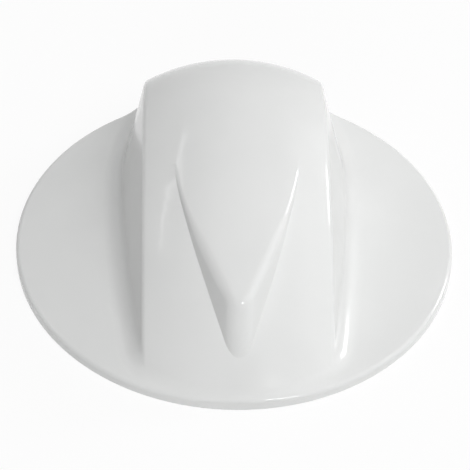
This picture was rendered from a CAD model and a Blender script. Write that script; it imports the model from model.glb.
from math import cos, hypot, radians, sin, sqrt, tan

import bmesh
import bpy
from mathutils import Matrix, Vector


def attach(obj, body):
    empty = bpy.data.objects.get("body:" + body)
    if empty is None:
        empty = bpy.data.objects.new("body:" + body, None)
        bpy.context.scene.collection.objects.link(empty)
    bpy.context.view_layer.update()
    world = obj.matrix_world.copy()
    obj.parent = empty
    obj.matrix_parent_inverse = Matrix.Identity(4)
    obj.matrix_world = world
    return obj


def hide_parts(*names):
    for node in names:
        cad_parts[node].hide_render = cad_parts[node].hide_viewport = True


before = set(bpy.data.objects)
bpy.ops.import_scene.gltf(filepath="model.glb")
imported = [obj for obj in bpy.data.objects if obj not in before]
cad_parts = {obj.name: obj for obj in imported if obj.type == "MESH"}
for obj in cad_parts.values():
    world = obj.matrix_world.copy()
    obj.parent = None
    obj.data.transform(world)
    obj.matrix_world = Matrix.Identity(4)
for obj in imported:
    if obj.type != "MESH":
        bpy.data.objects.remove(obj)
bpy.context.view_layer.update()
print("frame loaded:", sorted(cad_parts))


# one socket of a node sheet, so that its maths reads as an expression
class Wire:
    def __init__(self, sheet, socket):
        self.sheet = sheet
        self.socket = socket

    def calc(self, operation, first, second):
        return self.sheet.node("ShaderNodeMath", {"operation": operation}, {0: first, 1: second})

    def __add__(self, other):
        return self.calc("ADD", self, other)

    def __radd__(self, other):
        return self.calc("ADD", other, self)

    def __mul__(self, other):
        return self.calc("MULTIPLY", self, other)

    def __rmul__(self, other):
        return self.calc("MULTIPLY", other, self)


# the nodes of a material or a room, and the one way to add a node to them
class NodeSheet:
    def __init__(self, tree):
        self.tree = tree

    def feed(self, socket, value):
        if isinstance(value, Wire):
            self.tree.links.new(value.socket, socket)
        else:
            socket.default_value = value

    def node(self, kind, settings=None, inputs=None, output=0):
        made = self.tree.nodes.new(kind)
        for key, value in (settings or {}).items():
            setattr(made, key, value)
        for key, value in (inputs or {}).items():
            self.feed(made.inputs[key], value)
        return Wire(self, made.outputs[output])

    def ray(self, kind):
        return self.node("ShaderNodeLightPath", output="Is " + kind + " Ray")


# a material, with the patterns and blends that the finishes share
class Finish(NodeSheet):
    def __init__(self, name):
        self.material = bpy.data.materials.new(name)
        self.material.use_nodes = True
        super().__init__(self.material.node_tree)
        self.shader = self.tree.nodes["Principled BSDF"]

    def place(self, stretch=(1.0, 1.0, 1.0)):
        objectPlace = self.node("ShaderNodeTexCoord", output="Object")
        return self.node("ShaderNodeMapping", inputs={"Vector": objectPlace, "Scale": stretch})

    def noise(self, place, scale, detail, roughness=0.5):
        values = {"Vector": place, "Scale": scale, "Detail": detail, "Roughness": roughness}
        return self.node("ShaderNodeTexNoise", inputs=values)

    def fade(self, value, limits):
        values = {"Value": value, "From Min": limits[0], "From Max": limits[1]}
        return self.node("ShaderNodeMapRange", {"interpolation_type": "SMOOTHSTEP"}, values)

    def blend(self, amount, first, second):
        values = {"Factor": amount, 6: first, 7: second}  # sockets 6 and 7 are the colours A and B
        return self.node("ShaderNodeMix", {"data_type": "RGBA"}, values, output=2)

    def bump(self, height, strength, distance):
        values = {"Height": height, "Strength": strength, "Distance": distance}
        return self.node("ShaderNodeBump", inputs=values)

    def shade(self, inputs):
        for key, value in inputs.items():
            self.feed(self.shader.inputs[key], value)


# glossy white moulding: faint flow in the colour, soft smudges in the gloss, a trace of orange peel
outsideLook = {
    "white": (0.800, 0.806, 0.800, 1.0),
    "flowWhite": (0.775, 0.782, 0.776, 1.0),
    "flowScale": 55.0,
    "flowDetail": 3.0,
    "flowLimits": (0.38, 0.66),
    "gloss": 0.11,
    "smudge": 0.05,
    "smudgeScale": 130.0,
    "smudgeDetail": 5.0,
    "smudgeGrit": 0.6,
    "smudgeLimits": (0.45, 0.75),
    "peelScale": 620.0,
    "peelDetail": 2.0,
    "peelDepth": 0.000012,
    "peelStrength": 0.10,
    "plasticIor": 1.53,
}


def outsideFinish(look):
    finish = Finish("glossWhite")
    place = finish.place()
    flow = finish.fade(finish.noise(place, look["flowScale"], look["flowDetail"]), look["flowLimits"])
    smudge = finish.noise(place, look["smudgeScale"], look["smudgeDetail"], look["smudgeGrit"])
    peel = finish.noise(place, look["peelScale"], look["peelDetail"])
    finish.shade({
        "Base Color": finish.blend(flow, look["white"], look["flowWhite"]),
        "Roughness": finish.fade(smudge, look["smudgeLimits"]) * look["smudge"] + look["gloss"],
        "Normal": finish.bump(peel, look["peelStrength"], look["peelDepth"]),
        "IOR": look["plasticIor"],
    })
    return finish.material


# the same plastic against the plain core of the mould: duller, with a fine spark grain
insideLook = {
    "white": (0.790, 0.795, 0.785, 1.0),
    "greyWhite": (0.745, 0.750, 0.742, 1.0),
    "flowScale": 70.0,
    "flowDetail": 4.0,
    "flowLimits": (0.35, 0.70),
    "dullness": 0.42,
    "dullSpread": 0.12,
    "grainScale": 3200.0,
    "grainDetail": 3.0,
    "grainGrit": 0.7,
    "grainDepth": 0.00002,
    "grainStrength": 0.30,
    "plasticIor": 1.53,
}


def insideFinish(look):
    finish = Finish("matteWhite")
    place = finish.place()
    flow = finish.fade(finish.noise(place, look["flowScale"], look["flowDetail"]), look["flowLimits"])
    grain = finish.noise(place, look["grainScale"], look["grainDetail"], look["grainGrit"])
    finish.shade({
        "Base Color": finish.blend(flow, look["white"], look["greyWhite"]),
        "Roughness": grain * look["dullSpread"] + look["dullness"],
        "Normal": finish.bump(grain, look["grainStrength"], look["grainDepth"]),
        "IOR": look["plasticIor"],
    })
    return finish.material


# rolled spring strip: fine draw lines along the band and darker heat tint in patches
stripLook = {
    "bright": (0.62, 0.62, 0.63, 1.0),
    "dark": (0.40, 0.39, 0.38, 1.0),
    "lineStretch": (120.0, 120.0, 9000.0),
    "lineScale": 1.0,
    "lineDetail": 3.0,
    "lineDepth": 0.00001,
    "lineStrength": 0.35,
    "patchScale": 420.0,
    "patchDetail": 4.0,
    "patchLimits": (0.45, 0.8),
    "gloss": 0.24,
    "glossSpread": 0.18,
    "metal": 1.0,
}


def stripFinish(look):
    finish = Finish("springStrip")
    lines = finish.noise(finish.place(look["lineStretch"]), look["lineScale"], look["lineDetail"])
    tint = finish.noise(finish.place(), look["patchScale"], look["patchDetail"])
    finish.shade({
        "Base Color": finish.blend(finish.fade(tint, look["patchLimits"]), look["bright"], look["dark"]),
        "Roughness": lines * look["glossSpread"] + look["gloss"],
        "Normal": finish.bump(lines, look["lineStrength"], look["lineDepth"]),
        "Metallic": look["metal"],
    })
    return finish.material


# a merged copy of a solid, on its own, ready to be finished
def mergedCopy(node, name, mergeGap):
    bpy.ops.object.select_all(action="DESELECT")
    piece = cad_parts[node].copy()
    piece.data = piece.data.copy()
    piece.name = name
    for key in list(piece.keys()):
        del piece[key]
    bpy.context.scene.collection.objects.link(piece)
    piece.parent = None
    piece.select_set(True)
    bpy.context.view_layer.objects.active = piece
    bpy.ops.mesh.customdata_custom_splitnormals_clear()
    bpy.ops.object.mode_set(mode="EDIT")
    bpy.ops.mesh.select_all(action="SELECT")
    bpy.ops.mesh.remove_doubles(threshold=mergeGap)
    bpy.ops.object.mode_set(mode="OBJECT")
    return piece


# crest of the pointer: the small round on its edge is opened to a wide one where the flank is tall,
# and the surfaces that meet there are those of the solid, as (y, z) axes and radii in metres
pointerCrest = {
    "faceAxis": (0.013399, -0.087070),
    "faceRadius": 0.1070,
    "slopeAxis": (0.0111, -0.0393),
    "slopeRadius": 0.0595,
    "crownRadius": 0.0285,
    "flankCentre": (0.054583, 0.011184),  # x and y of the right cone's axis
    "flankRadius": 0.0696,
    "flankDraft": 15.0,
    "stemRound": 0.0024,
    "edgeRound": 0.0009,
    "softRound": 0.0018,
    "lowFlank": 0.0006,  # no change on a flank as low as this
    "highFlank": 0.0020,  # the full round on a flank as high as this
    "fadeZone": 2.0,
    "halfWidth": 0.012,
    "reach": 0.003,
    "skin": 0.0003,
    "touch": 0.00001,
    "settleSteps": 4,
}


# depth under a crowned surface that is swung about a level axis
def crownDepth(point, axis, radius, crown):
    return crown - hypot(hypot(point.y - axis[0], point.z - axis[1]) - radius + crown, point.x)


# depth inside the two leaning flanks and the round stem between them
def bowDepth(point, crest):
    lean = radians(crest["flankDraft"])
    centreX, centreY = crest["flankCentre"]
    left = Vector((point.x - centreX, point.y - centreY))
    right = Vector((point.x + centreX, point.y - centreY))
    radius = crest["flankRadius"] - point.z * tan(lean)
    leftDepth = (radius - left.length) * cos(lean)
    rightDepth = (radius - right.length) * cos(lean)
    turn = left.normalized().dot(right.normalized()) * cos(lean) ** 2 + sin(lean) ** 2
    first = leftDepth - crest["stemRound"]
    second = rightDepth - crest["stemRound"]
    if first < second * turn and second < first * turn:
        apart = first ** 2 + second ** 2 - 2 * first * second * turn
        return crest["stemRound"] - sqrt(apart / (1 - turn ** 2))
    return min(leftDepth, rightDepth)


def crestDepths(point, crest):
    face = crownDepth(point, crest["faceAxis"], crest["faceRadius"], crest["crownRadius"])
    return Vector((face, bowDepth(point, crest)))


def slopeHeight(point, crest):
    return -crownDepth(point, crest["slopeAxis"], crest["slopeRadius"], crest["crownRadius"])


# the way to deeper under the face and to deeper inside the bow
def crestSlopes(point, crest):
    faceWay, bowWay = Vector(), Vector()
    for axis in range(3):
        step = Vector()
        step[axis] = crest["touch"]
        change = crestDepths(point + step, crest) - crestDepths(point - step, crest)
        faceWay[axis], bowWay[axis] = change / (2 * crest["touch"])
    return faceWay, bowWay


# moves a point to the given depths, square to the crest
def settled(point, depths, crest):
    point = point.copy()
    for step in range(crest["settleSteps"]):
        faceWay, bowWay = crestSlopes(point, crest)
        across = faceWay.dot(bowWay)
        square = Matrix(((faceWay.dot(faceWay), across), (across, bowWay.dot(bowWay))))
        share = square.inverted() @ (depths - crestDepths(point, crest))
        point += faceWay * share[0] + bowWay * share[1]
    return point


# on the pointer's own skin, not far from its edge
def nearCrest(point, crest):
    if point.y > 0 or abs(point.x) > crest["halfWidth"] or slopeHeight(point, crest) < crest["touch"]:
        return False
    depths = crestDepths(point, crest)
    return -crest["touch"] < min(depths) < crest["skin"] and max(depths) <= crest["reach"]


# how much wider the round gets at a point, by the height of the flank there
def crestGrowth(point, crest):
    corner = settled(point, Vector((0.0, 0.0)), crest)
    share = (slopeHeight(corner, crest) - crest["lowFlank"]) / (crest["highFlank"] - crest["lowFlank"])
    share = min(1.0, max(0.0, share))
    return (crest["softRound"] / crest["edgeRound"] - 1) * share * share * (3 - 2 * share)


def softenCrest(knob, crest):
    moved = 0
    for vertex in knob.data.vertices:
        point = vertex.co
        growth = crestGrowth(point, crest) if nearCrest(point, crest) else 0
        if growth == 0:
            continue
        depths = crestDepths(point, crest)
        faceWay, bowWay = crestSlopes(point, crest)
        roundEnd = crest["edgeRound"] * (1 - faceWay.normalized().dot(bowWay.normalized()))
        zone = crest["fadeZone"] * growth * roundEnd
        for depth in depths:
            growth *= min(1.0, max(0.0, 1 - (depth - roundEnd) / zone))
        target = Vector([depth + growth * min(depth, roundEnd) for depth in depths])
        vertex.co = settled(point, target, crest)
        moved += 1
    print("crest softened:", moved, "points")


# foot of the stem: the hollow line stays crisp where it is too shallow for the smoothing angle
stemFoot = {
    "back": -0.026,
    "low": 0.005,
    "angle": 15.0,
}


def markFoot(knob, foot):
    mesh = bmesh.new()
    mesh.from_mesh(knob.data)
    for edge in mesh.edges:
        middle = (edge.verts[0].co + edge.verts[1].co) / 2
        near = middle.y < foot["back"] and middle.z > foot["low"]
        if near and not edge.is_convex and edge.calc_face_angle(0.0) > radians(foot["angle"]):
            edge.smooth = False
    mesh.to_mesh(knob.data)
    mesh.free()


# moulded knob: gloss outside, the duller core side wherever a face looks down or inward
knobShell = {
    "mergeGap": 0.000002,
    "smoothAngle": 28.0,
    "coreTilt": -0.05,
    "uprightTilt": 0.05,
    "landRadius": 0.0316,
}


def makeKnob(values):
    knob = mergedCopy("knob_body", "knobShell", values["mergeGap"])
    softenCrest(knob, pointerCrest)
    knob.data.materials.clear()
    knob.data.materials.append(outsideFinish(outsideLook))
    knob.data.materials.append(insideFinish(insideLook))
    for face in knob.data.polygons:
        radius = face.center.xy.length
        tilt = face.normal.z
        upright = abs(tilt) <= values["uprightTilt"] and radius < values["landRadius"]
        face.material_index = int(upright or tilt < values["coreTilt"])
    bpy.ops.object.shade_smooth_by_angle(angle=radians(values["smoothAngle"]))
    markFoot(knob, stemFoot)
    facing = knob.modifiers.new("facing", "WEIGHTED_NORMAL")
    facing.keep_sharp = True
    bpy.ops.object.modifier_apply(modifier=facing.name)
    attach(knob, "root")
    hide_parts("knob_body")
    return knob


knob = makeKnob(knobShell)
print("knob:", len(knob.data.polygons), "faces")

# spring clip: the strip with its cut edges broken
springClip = {
    "mergeGap": 0.000002,
    "edgeBreak": 0.00006,
    "breakSteps": 2,
    "breakAngle": 50.0,
    "smoothAngle": 35.0,
}


def makeClip(values):
    clip = mergedCopy("shaft_clip", "springClip", values["mergeGap"])
    clip.data.materials.clear()
    clip.data.materials.append(stripFinish(stripLook))
    edge = clip.modifiers.new("edgeBreak", "BEVEL")
    edge.width = values["edgeBreak"]
    edge.segments = values["breakSteps"]
    edge.limit_method = "ANGLE"
    edge.angle_limit = radians(values["breakAngle"])
    bpy.ops.object.modifier_apply(modifier=edge.name)
    bpy.ops.object.shade_smooth_by_angle(angle=radians(values["smoothAngle"]))
    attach(clip, "root")
    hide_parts("shaft_clip")
    return clip


clip = makeClip(springClip)
print("clip:", len(clip.data.polygons), "faces")

# pale floor that shows white to the camera and still takes the shadow
floorPlan = {
    "size": 4.0,
    "drop": 0.00002,
    "white": (0.95, 0.95, 0.95, 1.0),
    "dullness": 0.9,
    "shine": 0.0,
    "glowWhite": (1.0, 1.0, 1.0, 1.0),
    "glowStrength": 1.0,
    "glow": 0.88,
}


def makeFloor(values):
    bpy.ops.object.select_all(action="DESELECT")
    bpy.ops.mesh.primitive_plane_add(size=values["size"], location=(0, 0, -values["drop"]))
    floor = bpy.context.object
    floor.name = "floor"
    finish = Finish("paleFloor")
    finish.shade({
        "Base Color": values["white"],
        "Roughness": values["dullness"],
        "Specular IOR Level": values["shine"],
    })
    paint = Wire(finish, finish.shader.outputs[0])
    light = {"Color": values["glowWhite"], "Strength": values["glowStrength"]}
    glow = finish.node("ShaderNodeEmission", inputs=light)
    share = (finish.ray("Camera") + finish.ray("Glossy") + finish.ray("Transmission")) * values["glow"]
    mixed = finish.node("ShaderNodeMixShader", inputs={0: share, 1: paint, 2: glow})
    finish.feed(finish.tree.nodes["Material Output"].inputs["Surface"], mixed)
    floor.data.materials.append(finish.material)


makeFloor(floorPlan)
print("floor laid")

# white room, seen white and lighting the knob more softly
roomLight = {
    "white": (1.0, 1.0, 1.0, 1.0),
    "seen": 1.0,
    "ambient": 0.085,
}


def makeRoom(values):
    room = bpy.data.worlds.new("whiteRoom")
    bpy.context.scene.world = room
    room.use_nodes = True
    sheet = NodeSheet(room.node_tree)
    sky = sheet.tree.nodes["Background"]
    looking = sheet.ray("Camera") + sheet.ray("Glossy")
    strength = looking * (values["seen"] - values["ambient"]) + values["ambient"]
    sheet.feed(sky.inputs["Color"], values["white"])
    sheet.feed(sky.inputs["Strength"], strength)


# soft boxes aimed at the knob, size in metres and power in watts:
# spread is whether a box lights the knob, mirrored is whether its shape shows in the gloss
lampPlan = {
    "topBox": {
        "place": (0.140, -0.170, 0.860), "size": (0.50, 1.40), "power": 6.20,
        "spread": True, "mirrored": False,
    },
    "rightBox": {
        "place": (0.770, 0.130, 0.450), "size": (1.20, 0.80), "power": 1.75,
        "spread": True, "mirrored": True,
    },
    "frontFill": {
        "place": (-0.030, -0.735, 0.260), "size": (0.60, 0.30), "power": 1.28,
        "spread": True, "mirrored": False,
    },
    "frontSpot": {
        "place": (0.240, -0.560, 0.350), "size": (0.16, 0.14), "power": 0.98,
        "spread": False, "mirrored": True,
    },
    "rightStrip": {
        "place": (0.390, 0.185, 0.200), "size": (0.11, 0.12), "power": 0.46,
        "spread": True, "mirrored": True,
    },
    "leftStrip": {
        "place": (-0.330, 0.180, 0.470), "size": (0.40, 0.015), "power": 0.06,
        "spread": True, "mirrored": True,
    },
}


def makeLamps(plan):
    for name, values in plan.items():
        lamp = bpy.data.lights.new(name, "AREA")
        lamp.shape = "RECTANGLE"
        lamp.size, lamp.size_y = values["size"]
        lamp.energy = values["power"]
        holder = bpy.data.objects.new(name, lamp)
        holder.visible_diffuse = values["spread"]
        holder.visible_glossy = values["mirrored"]
        bpy.context.scene.collection.objects.link(holder)
        place = Vector(values["place"])
        holder.location = place
        holder.rotation_mode = "QUATERNION"
        holder.rotation_quaternion = (-place).to_track_quat("-Z", "Y")


makeRoom(roomLight)
makeLamps(lampPlan)
print("room lit:", ", ".join(lampPlan))

# view from the front and above, with the slight turn and roll of the photograph
cameraPlan = {
    "distance": 0.325,
    "azimuth": -2.2,
    "elevation": 44.8,
    "roll": 1.55,
    "lens": 166.23,
    "sensor": 36.0,
    "imageSize": 470,
    "shiftPixels": (0.8, 10.32),
    "clipStart": 0.01,
}


def makeCamera(values):
    azimuth = radians(values["azimuth"])
    elevation = radians(values["elevation"])
    outward = Vector((sin(azimuth) * cos(elevation), -cos(azimuth) * cos(elevation), sin(elevation)))
    lens = bpy.data.cameras.new("frontCamera")
    lens.sensor_width = values["sensor"]
    lens.lens = values["lens"]
    lens.shift_x, lens.shift_y = [pixels / values["imageSize"] for pixels in values["shiftPixels"]]
    lens.clip_start = values["clipStart"]
    camera = bpy.data.objects.new("frontCamera", lens)
    bpy.context.scene.collection.objects.link(camera)
    aim = (-outward).to_track_quat("-Z", "Y").to_matrix().to_4x4()
    roll = Matrix.Rotation(radians(values["roll"]), 4, "Z")
    camera.matrix_world = Matrix.Translation(outward * values["distance"]) @ aim @ roll
    bpy.context.scene.camera = camera


makeCamera(cameraPlan)
bpy.context.scene.view_settings.view_transform = "Standard"

print("sizes written")
